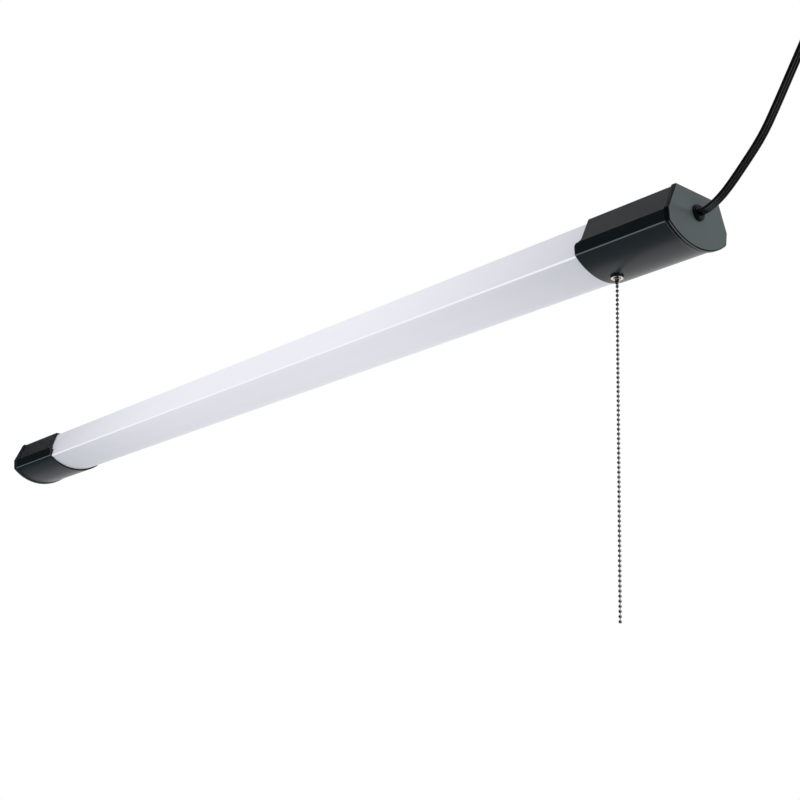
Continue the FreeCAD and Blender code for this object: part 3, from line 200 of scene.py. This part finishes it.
def grain_group():
    """Two noises on Object coordinates: a broad one mixes the colours, a fine one moves the
    roughness and gives the relief."""
    group = bpy.data.node_groups.new("surface grain", "ShaderNodeTree")
    sockets = [("Colour", "NodeSocketColor"), ("Second Colour", "NodeSocketColor"),
               ("Stretch", "NodeSocketVector"), ("Broad Scale", "NodeSocketFloat"),
               ("Fine Scale", "NodeSocketFloat"), ("Roughness", "NodeSocketFloat"),
               ("Roughness Spread", "NodeSocketFloat"), ("Relief", "NodeSocketFloat")]
    for name, kind in sockets:
        group.interface.new_socket(name=name, in_out="INPUT", socket_type=kind)
    for name, kind in [("Colour", "NodeSocketColor"), ("Roughness", "NodeSocketFloat"),
                       ("Normal", "NodeSocketVector")]:
        group.interface.new_socket(name=name, in_out="OUTPUT", socket_type=kind)
    nodes, links = group.nodes, group.links
    given, result = nodes.new("NodeGroupInput"), nodes.new("NodeGroupOutput")
    place = nodes.new("ShaderNodeTexCoord")
    mapping = nodes.new("ShaderNodeMapping")
    broad, fine = nodes.new("ShaderNodeTexNoise"), nodes.new("ShaderNodeTexNoise")
    broad.inputs["Detail"].default_value = 3.0
    fine.inputs["Detail"].default_value = 2.0
    mix = nodes.new("ShaderNodeMix")
    mix.data_type = "RGBA"
    centred = nodes.new("ShaderNodeMath")
    centred.operation = "SUBTRACT"
    centred.inputs[1].default_value = 0.5
    spread = nodes.new("ShaderNodeMath")
    spread.operation = "MULTIPLY_ADD"
    bump = nodes.new("ShaderNodeBump")
    bump.inputs["Distance"].default_value = 1.0
    height = nodes.new("ShaderNodeMath")
    height.operation = "MULTIPLY"
    links.new(place.outputs["Object"], mapping.inputs["Vector"])
    links.new(given.outputs["Stretch"], mapping.inputs["Scale"])
    links.new(mapping.outputs["Vector"], broad.inputs["Vector"])
    links.new(mapping.outputs["Vector"], fine.inputs["Vector"])
    links.new(given.outputs["Broad Scale"], broad.inputs["Scale"])
    links.new(given.outputs["Fine Scale"], fine.inputs["Scale"])
    links.new(broad.outputs["Fac"], mix.inputs["Factor"])
    links.new(given.outputs["Colour"], mix.inputs["A"])
    links.new(given.outputs["Second Colour"], mix.inputs["B"])
    links.new(fine.outputs["Fac"], centred.inputs[0])
    links.new(centred.outputs[0], spread.inputs[0])
    links.new(given.outputs["Roughness Spread"], spread.inputs[1])
    links.new(given.outputs["Roughness"], spread.inputs[2])
    links.new(fine.outputs["Fac"], height.inputs[0])
    links.new(given.outputs["Relief"], height.inputs[1])
    links.new(height.outputs[0], bump.inputs["Height"])
    links.new(mix.outputs["Result"], result.inputs["Colour"])
    links.new(spread.outputs[0], result.inputs["Roughness"])
    links.new(bump.outputs["Normal"], result.inputs["Normal"])
    return group


surface_grain = grain_group()


def finish(name, colour, second, roughness, spread=0.1, stretch=(1, 1, 1), broad=30.0, fine=900.0,
           relief=2e-5, metallic=0.0, gloss=0.5):
    """A material whose colour, roughness and relief come from the grain group."""
    material = bpy.data.materials.new(name)
    material.use_nodes = True
    nodes, links = material.node_tree.nodes, material.node_tree.links
    shader = nodes["Principled BSDF"]
    grain = nodes.new("ShaderNodeGroup")
    grain.node_tree = surface_grain
    grain.inputs["Colour"].default_value = (*colour, 1)
    grain.inputs["Second Colour"].default_value = (*second, 1)
    grain.inputs["Stretch"].default_value = stretch
    grain.inputs["Broad Scale"].default_value = broad
    grain.inputs["Fine Scale"].default_value = fine
    grain.inputs["Roughness"].default_value = roughness
    grain.inputs["Roughness Spread"].default_value = spread
    grain.inputs["Relief"].default_value = relief
    shader.inputs["Metallic"].default_value = metallic
    shader.inputs["Specular IOR Level"].default_value = gloss
    links.new(grain.outputs["Colour"], shader.inputs["Base Color"])
    links.new(grain.outputs["Roughness"], shader.inputs["Roughness"])
    links.new(grain.outputs["Normal"], shader.inputs["Normal"])
    return material


def dress(material, *names):
    """Gives CAD nodes a finish."""
    for name in names:
        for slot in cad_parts[name].material_slots:
            slot.material = material


cord_vinyl = finish("glossy cord vinyl", (0.0025, 0.0025, 0.003), (0.004, 0.004, 0.0045), 0.10,
                    spread=0.04, broad=60.0, fine=1500.0, relief=2e-6, gloss=0.5)

cord_line = smooth_line("cord line", cord_control_points(), steps_per_point)
profile = ribbed_profile()
rings = carried(profile, cord_line, np.array([0.0, 1.0, 0.0]))
cord_ends = [list(range(len(profile)))[::-1],
             list(range(len(rings) - len(profile), len(rings)))]
cord = mesh_object("lamp_cord", rings, grid_faces(len(cord_line), len(profile)) + cord_ends,
                   cord_vinyl)
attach(cord, "fixture")
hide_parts("power_cord", "cord_coil")

# ---- Plug --------------------------------------------------------------------------------------
# A body of the same kind of vinyl, moulded onto the cord's end, with two flat nickel-plated blades
# and a round earth pin set in it.

plug_vinyl = finish("moulded plug vinyl", (0.006, 0.006, 0.0065), (0.010, 0.010, 0.011), 0.38,
                    spread=0.2, broad=80.0, fine=1800.0, relief=2e-5, gloss=0.3)
dress(plug_vinyl, "plug_body")
blade_nickel = finish("blade nickel", (0.70, 0.68, 0.64), (0.58, 0.56, 0.52), 0.22, spread=0.15,
                      stretch=(1, 1, 0.1), broad=120.0, fine=2500.0, relief=4e-6, metallic=1.0)
dress(blade_nickel, "plug_blades", "plug_ground_pin")

# ---- Cord tie ----------------------------------------------------------------------------------
# A woven black band drawn round the coil's turns at their lowest point, its end lapped over the
# start on the side that faces the room.

tie_low, tie_high = (np.array(corner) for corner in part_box("cord_tie"))
tie_wall = 0.0012
tie_steps = 144
tie_columns = 11
first_angle = 0.02


def tie_surface(around, across, power=8, crown=0.25, lap=math.pi / 3, lap_slope=0.05,
                lap_extra=0.5):
    """A band whose loop is the superellipse |y/a|^8 + |z/b|^8 = 1. Across it the wall is
    crowned, 1 - 0.25 s^4, and over the lap it is half as thick again."""
    middle = (tie_low + tie_high) / 2
    half_x, half_y, half_z = (tie_high - tie_low) / 2 - np.array([0, tie_wall, tie_wall])
    cosine, sine = np.cos(around), np.sin(around)
    y = half_y * np.sign(cosine) * np.abs(cosine) ** (2 / power)
    z = half_z * np.sign(sine) * np.abs(sine) ** (2 / power)
    out_y = np.abs(y / half_y) ** (power - 1) * np.sign(y)
    out_z = np.abs(z / half_z) ** (power - 1) * np.sign(z)
    size = np.hypot(out_y, out_z)
    lapped = eased((lap - np.abs(around - np.pi)) / lap_slope)
    side, level = across[:, 0], across[:, 1]
    wall = (tie_wall * (1 + lap_extra * lapped)[:, None] * (1 - crown * side ** 4)[None]
            * level[None])
    return np.stack([np.broadcast_to(middle[0] + half_x * side, wall.shape),
                     middle[1] + y[:, None] + wall * (out_y / size)[:, None],
                     middle[2] + z[:, None] + wall * (out_z / size)[:, None]], axis=-1)


edge_to_edge = np.linspace(-1, 1, tie_columns)
tie_profile = np.vstack([np.column_stack([edge_to_edge, np.ones(tie_columns)]),
                         np.column_stack([edge_to_edge[::-1], np.zeros(tie_columns)])])
tie_angles = np.linspace(first_angle, first_angle + 2 * np.pi, tie_steps, endpoint=False)
tie_points = tie_surface(tie_angles, tie_profile).reshape(-1, 3)
tie_weave = finish("woven tie band", (0.010, 0.010, 0.011), (0.030, 0.030, 0.032), 0.75, spread=0.2,
                   stretch=(1.0, 0.25, 0.25), broad=2600.0, fine=3200.0, relief=1.2e-4, gloss=0.3)
tie = mesh_object("coil_tie_band", tie_points, grid_faces(tie_steps, len(tie_profile), looped=True),
                  tie_weave)
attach(tie, "fixture")
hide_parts("cord_tie")

# ---- Strain relief -----------------------------------------------------------------------------
# A round bushing of black nylon, pressed into the end plate's hole, that grips the cord. The cord's
# short tail behind it, inside the cap, gets the same finish.

nylon = finish("black nylon", (0.002, 0.002, 0.0025), (0.004, 0.004, 0.0045), 0.20, spread=0.12,
               broad=100.0, fine=1200.0, relief=5e-6, gloss=0.10)
dress(nylon, "strain_relief", "cord_tail")

# ---- Diffuser ----------------------------------------------------------------------------------
# Milky white plastic, extruded in one length and hooked over the tray's ledges. Faint die lines run
# along it, a thin painted highlight runs along its outer crease, and painted shade darkens it more
# and more towards its ends.

crease_height = -0.0337
diffuser_crease_side = 0.0335
shade_start, shade_end = 0.10, 0.50


def axes_of(material, kind="Object"):
    """The separate X, Y and Z of the Object coordinates, or of the Normal, in a material."""
    nodes, links = material.node_tree.nodes, material.node_tree.links
    place, axes = nodes.new("ShaderNodeTexCoord"), nodes.new("ShaderNodeSeparateXYZ")
    links.new(place.outputs[kind], axes.inputs[0])
    return axes.outputs


def worked_out(material, operation, first, second=None):
    """The result of a Math node on a socket and, if given, a number or another socket."""
    nodes, links = material.node_tree.nodes, material.node_tree.links
    step = nodes.new("ShaderNodeMath")
    step.operation = operation
    links.new(first, step.inputs[0])
    if isinstance(second, (int, float)):
        step.inputs[1].default_value = second
    elif second is not None:
        links.new(second, step.inputs[1])
    return step.outputs[0]


def ramped(material, value, start, end):
    """0 at start, 1 at end and straight between, held outside them."""
    nodes, links = material.node_tree.nodes, material.node_tree.links
    ramp = nodes.new("ShaderNodeMapRange")
    ramp.inputs["From Min"].default_value = start
    ramp.inputs["From Max"].default_value = end
    links.new(value, ramp.inputs["Value"])
    return ramp.outputs["Result"]


def crease_mask(material, axes, side, half_width, soft):
    """1 on a line of some width at the height of the crease, on both sides of the light."""
    above = worked_out(material, "SUBTRACT", axes["Z"], crease_height)
    off = worked_out(material, "ABSOLUTE", above)
    line = ramped(material, off, half_width + soft, half_width)
    out = worked_out(material, "ABSOLUTE", axes["Y"])
    outer = worked_out(material, "GREATER_THAN", out, side)
    return worked_out(material, "MULTIPLY", line, outer)


def blended_in(material, mask, colour, roughness=None):
    """Mixes a second colour, and a second roughness, into what a finish has, by a mask."""
    nodes, links = material.node_tree.nodes, material.node_tree.links
    shader = nodes["Principled BSDF"]
    pairs = [("Base Color", "RGBA", (*colour, 1))]
    if roughness is not None:
        pairs.append(("Roughness", "FLOAT", roughness))
    for name, kind, second in pairs:
        before = shader.inputs[name].links[0].from_socket
        mix = nodes.new("ShaderNodeMix")
        mix.data_type = kind
        mix.inputs["B"].default_value = second
        links.new(mask, mix.inputs["Factor"])
        links.new(before, mix.inputs["A"])
        links.new(mix.outputs["Result"], shader.inputs[name])


diffuser_plastic = finish("milky diffuser plastic", (0.80, 0.81, 0.87), (0.78, 0.79, 0.85), 0.38,
                          spread=0.08, stretch=(0.03, 1, 1), broad=20.0, fine=900.0, relief=1.2e-5)
axes = axes_of(diffuser_plastic)
# Painted shade: the plastic is darkened more and more from 0.1 m out towards both ends.
from_middle = worked_out(diffuser_plastic, "ABSOLUTE", axes["X"])
painted_shade_to_ends = ramped(diffuser_plastic, from_middle, shade_start, shade_end)
blended_in(diffuser_plastic, worked_out(diffuser_plastic, "POWER", painted_shade_to_ends, 2.0),
           (0.58, 0.59, 0.65))
# Painted highlight: a thin whiter line along the diffuser's outer crease.
painted_crease_highlight = crease_mask(diffuser_plastic, axes, diffuser_crease_side, half_width=3e-4, soft=8e-4)
blended_in(diffuser_plastic, painted_crease_highlight, (0.91, 0.92, 0.96))
dress(diffuser_plastic, "diffuser")

# ---- End caps and end plates -------------------------------------------------------------------
# Satin black mouldings: a stepped sleeve that takes the diffuser's end, and a plate that snaps
# into it. A thin painted highlight runs along the sleeve's lower crease and the start of the
# plate's rounding below it; the rest of the plate's rounding is painted near black, a painted dark
# reflection, and made glossier; the plate's flat face is a grey-green satin.

cap_crease_side = 0.0365
edge_top, edge_bottom = -0.034, -0.037
# How far a plate's surface faces the light's end, from 1 on its flat to 0 on its sides.
flat_face, rounded_face = 0.999, 0.97
rounding_appears, rounding_fades = (0.02, 0.12), (0.60, 0.40)

cap_plastic = finish("satin black moulding", (0.0020, 0.0056, 0.0078), (0.0032, 0.0074, 0.0098),
                     0.32, spread=0.10, broad=40.0, fine=1600.0, relief=1e-5, gloss=0.42)
# Painted highlight: a thin lighter line along the sleeve's lower crease.
painted_crease_highlight = crease_mask(cap_plastic, axes_of(cap_plastic), cap_crease_side, half_width=2e-4, soft=5e-4)
blended_in(cap_plastic, painted_crease_highlight, (0.11, 0.12, 0.125))
dress(cap_plastic, "power_cap_shell", "plain_cap_shell")

plate_plastic = finish("plate moulding", (0.056, 0.070, 0.071), (0.066, 0.082, 0.083), 0.40,
                       spread=0.12, broad=40.0, fine=1600.0, relief=1e-5, gloss=0.18)
# Painted dark reflection: where the plate's surface turns from its flat into the rounding it is
# painted near black and made glossier.
endwards = worked_out(plate_plastic, "ABSOLUTE", axes_of(plate_plastic, "Normal")["X"])
blended_in(plate_plastic, ramped(plate_plastic, endwards, flat_face, rounded_face),
           (0.002, 0.003, 0.0035), 0.18)
# Painted highlight: a lighter line on the start of the plate's rounding, below the crease.
painted_rim_highlight = worked_out(plate_plastic, "MULTIPLY",
                            ramped(plate_plastic, endwards, *rounding_appears),
                            ramped(plate_plastic, endwards, *rounding_fades))
low = ramped(plate_plastic, axes_of(plate_plastic)["Z"], edge_top, edge_bottom)
blended_in(plate_plastic, worked_out(plate_plastic, "MULTIPLY", painted_rim_highlight, low),
           (0.120, 0.128, 0.130))
dress(plate_plastic, "power_end_plate", "plain_end_plate")

# Zinc-plated screws: two through each cap into the tray, and those of the pan, boards and driver.
screw_steel = finish("zinc-plated steel", (0.60, 0.60, 0.60), (0.50, 0.51, 0.53), 0.32, spread=0.2,
                     broad=300.0, fine=2500.0, relief=1e-5, metallic=1.0)
dress(screw_steel, "cap_screws", "pan_screws", "board_screws", "driver_screws")

# ---- Pull chain and its outlet -----------------------------------------------------------------
# A bright fluted nut holds a brass bushing in the cap; the chain comes out of it with a small
# bell. The beads are rolled from nickel-plated strip and joined by short wires.

bright_nickel = finish("bright nickel", (0.80, 0.79, 0.77), (0.72, 0.71, 0.69), 0.14, spread=0.08,
                       broad=200.0, fine=2200.0, relief=5e-6, metallic=1.0)
dress(bright_nickel, "bushing_nut", "chain_coupling")
brass = finish("machined brass", (0.66, 0.57, 0.37), (0.55, 0.46, 0.29), 0.26, spread=0.15,
               broad=200.0, fine=2000.0, relief=6e-6, metallic=1.0)
dress(brass, "switch_bushing", "bushing_locknut", "switch_drum", "switch_contacts", "draw_chain",
      "ring_terminal")
chain_nickel = finish("bead chain nickel", (0.50, 0.485, 0.46), (0.36, 0.35, 0.33), 0.16,
                      spread=0.12, broad=220.0, fine=2500.0, relief=5e-6, metallic=1.0)
dress(chain_nickel, "pull_chain_top", "pull_chain_upper", "pull_chain_lower", "pull_chain_end")

# ---- Switch ------------------------------------------------------------------------------------
# A case and cover of dark phenolic, held to the cap by its bushing and two nuts. Inside are the
# drum that the chain winds on, an indexing rotor and a blued clock spring.

phenolic = finish("dark phenolic", (0.040, 0.022, 0.012), (0.060, 0.034, 0.020), 0.40, spread=0.2,
                  broad=150.0, fine=1800.0, relief=2e-5)
dress(phenolic, "switch_case", "switch_cover", "contact_rotor")
blued_steel = finish("blued spring steel", (0.16, 0.19, 0.28), (0.22, 0.24, 0.30), 0.28, spread=0.2,
                     broad=250.0, fine=2500.0, relief=5e-6, metallic=1.0)
dress(blued_steel, "switch_spring")

# ---- Tray and reflector pan --------------------------------------------------------------------
# Folded steel. The tray is powder-coated white and carries everything; the pan, in a glossier white
# paint, lies in it as a trough and is held by a row of screws through each side.

tray_paint = finish("white powder coat", (0.80, 0.80, 0.81), (0.75, 0.75, 0.76), 0.45, spread=0.2,
                    broad=25.0, fine=1400.0, relief=4e-5)
dress(tray_paint, "top_tray")
pan_paint = finish("white reflector paint", (0.86, 0.86, 0.86), (0.82, 0.82, 0.82), 0.30,
                   spread=0.1, broad=25.0, fine=1000.0, relief=1e-5)
dress(pan_paint, "reflector_pan")

# ---- Light boards ------------------------------------------------------------------------------
# White solder mask on thin aluminium, screwed under the pan, with rows of small chips: a pale
# package round a yellow phosphor face that looks down. The connectors are white nylon.

downward = -0.5

board_mask = finish("white solder mask", (0.84, 0.86, 0.83), (0.79, 0.81, 0.78), 0.35, spread=0.15,
                    broad=120.0, fine=1500.0, relief=1e-5)
dress(board_mask, "led_board_left", "led_board_right")
connector_nylon = finish("white connector nylon", (0.80, 0.79, 0.73), (0.74, 0.73, 0.67), 0.50,
                         spread=0.2, broad=100.0, fine=1500.0, relief=2e-5)
dress(connector_nylon, "board_link", "feed_connector")
phosphor = finish("phosphor chip", (0.85, 0.72, 0.22), (0.78, 0.64, 0.18), 0.40, broad=500.0)
not_down = worked_out(phosphor, "GREATER_THAN", axes_of(phosphor, "Normal")["Z"], downward)
blended_in(phosphor, not_down, (0.85, 0.85, 0.82))
dress(phosphor, "led_chips")

# ---- Driver ------------------------------------------------------------------------------------
# A box of galvanised sheet, screwed under the tray by an ear at each end and closed by a lid below.
# On its green board stand a taped transformer, a sleeved can and a ring wound with enamelled wire.

galvanised = finish("galvanised sheet", (0.58, 0.59, 0.60), (0.44, 0.46, 0.48), 0.42, spread=0.25,
                    broad=90.0, fine=700.0, relief=1e-5, metallic=1.0)
dress(galvanised, "driver_case", "driver_lid")
green_mask = finish("green solder mask", (0.010, 0.110, 0.040), (0.016, 0.160, 0.060), 0.30,
                    spread=0.15, broad=400.0, fine=1500.0, relief=2e-5)
dress(green_mask, "driver_circuit_board")
core_tape = finish("taped transformer", (0.030, 0.030, 0.032), (0.200, 0.150, 0.030), 0.45,
                   stretch=(1, 1, 0.2), spread=0.2, broad=120.0, fine=1200.0, relief=3e-5)
dress(core_tape, "driver_transformer")
can_sleeve = finish("can sleeve", (0.015, 0.016, 0.022), (0.028, 0.028, 0.036), 0.28, broad=120.0)
dress(can_sleeve, "driver_capacitor")
winding = finish("enamelled winding", (0.48, 0.16, 0.05), (0.30, 0.09, 0.03), 0.28, spread=0.2,
                 stretch=(1, 1, 3), broad=300.0, fine=1400.0, relief=6e-5, metallic=0.8)
dress(winding, "driver_choke")

# ---- Leads -------------------------------------------------------------------------------------
# Round wires in coloured vinyl. Black, white, red and green ones join the cord, the switch, the
# driver and the tray's green ground screw, and a red pair runs from the driver to the boards.

dress(finish("black lead", (0.015, 0.015, 0.015), (0.025, 0.025, 0.025), 0.35), "hot_lead")
dress(finish("white lead", (0.80, 0.80, 0.77), (0.74, 0.74, 0.71), 0.35), "neutral_lead")
dress(finish("red lead", (0.45, 0.02, 0.02), (0.36, 0.02, 0.02), 0.35), "switched_lead",
      "led_leads")
dress(finish("green lead", (0.02, 0.26, 0.08), (0.02, 0.20, 0.06), 0.35), "ground_lead",
      "ground_screw")

# ---- Studio ------------------------------------------------------------------------------------
# A pale floor well below the light, a white surround, two soft lamps, and felt cards that only show
# in reflections, where they give the black plastics and the beads their dark bands.

level_on_light, level_seen = 0.97, 1.0
floor_height = -1.9
card_floor = -1.86
black_felt = (0.012, 0.012, 0.012)
blue_felt = (0.20, 0.25, 0.28)
grey_felt = (0.45, 0.45, 0.45)
pale_felt = (0.40, 0.42, 0.45)

world = bpy.data.worlds.new("studio")
bpy.context.scene.world = world
world.use_nodes = True
nodes, links = world.node_tree.nodes, world.node_tree.links
background = nodes["Background"]
background.inputs["Color"].default_value = (1, 1, 1, 1)
rays = nodes.new("ShaderNodeLightPath")
seen = rays.outputs["Is Camera Ray"]
for kind in ("Is Glossy Ray", "Is Transmission Ray"):
    either = nodes.new("ShaderNodeMath")
    either.operation = "MAXIMUM"
    links.new(seen, either.inputs[0])
    links.new(rays.outputs[kind], either.inputs[1])
    seen = either.outputs[0]
level = nodes.new("ShaderNodeMapRange")
level.inputs["To Min"].default_value = level_on_light
level.inputs["To Max"].default_value = level_seen
links.new(seen, level.inputs["Value"])
links.new(level.outputs["Result"], background.inputs["Strength"])


def softbox(name, place, aim, size, power):
    """A square lamp that lights but isn't seen in reflections."""
    lamp = bpy.data.lights.new(name, "AREA")
    lamp.shape = "SQUARE"
    lamp.size = size
    lamp.energy = power
    holder = bpy.data.objects.new(name, lamp)
    holder.location = place
    holder.rotation_euler = (Vector(aim) - Vector(place)).to_track_quat("-Z", "Y").to_euler()
    holder.visible_glossy = False
    bpy.context.scene.collection.objects.link(holder)


softbox("key lamp", place=(-0.9, -2.3, 0.8), aim=(-0.2, 0, 0), size=1.4, power=18)
softbox("side lamp", place=(1.35, 1.5, 0.35), aim=(0.61, 0, 0), size=0.3, power=24)


def board(name, corners, material):
    """A flat board that belongs to the studio."""
    piece = mesh_object(name, np.array(corners, dtype=float), [(0, 1, 2, 3)], material)
    return piece


def level_corners(x, y, height):
    """Corners of a level board from its (low, high) in X and Y."""
    return [(x[0], y[0], height), (x[1], y[0], height), (x[1], y[1], height), (x[0], y[1], height)]


def upright_corners(start, end, low, high):
    """Corners of an upright board between two points (x, y)."""
    return [(*start, low), (*end, low), (*end, high), (*start, high)]


def card(name, corners, felt):
    """A matt board that only shows in reflections; it neither lights nor shades the light."""
    piece = board(name, corners,
                  finish(name + " felt", felt, [value * 1.05 for value in felt], 0.9))
    piece.visible_camera = False
    piece.visible_diffuse = False
    piece.visible_shadow = False


card("front card", upright_corners((-6.5, 0.63), (1.1, -2.6), -1.85, 2.1), black_felt)
card("floor card", level_corners((-5.5, 1.1), (-2.7, 0.6), card_floor), blue_felt)
card("roof card", level_corners((-7.5, 1.0), (-3.0, 0.6), 2.3), grey_felt)
card("end card", upright_corners((3.0, 0.5), (3.0, 2.4), 0.1, 1.7), black_felt)
card("right card", upright_corners((1.1, -2.6), (9.0, -2.6), -1.85, 2.6), black_felt)
card("near floor card", level_corners((1.1, 9.0), (-2.6, 0.7), card_floor), black_felt)
card("back floor card", level_corners((-0.4, 9.0), (2.0, 8.0), card_floor), black_felt)
card("far floor card", level_corners((-10.0, -3.6), (0.6, 5.0), card_floor), pale_felt)
board("floor", level_corners((-60, 60), (-60, 60), floor_height),
      finish("pale floor", (0.86, 0.86, 0.86), (0.85, 0.85, 0.85), 0.9, relief=0.0, fine=20.0,
             broad=2.0, gloss=0.0))

bpy.context.scene.view_settings.view_transform = "Standard"
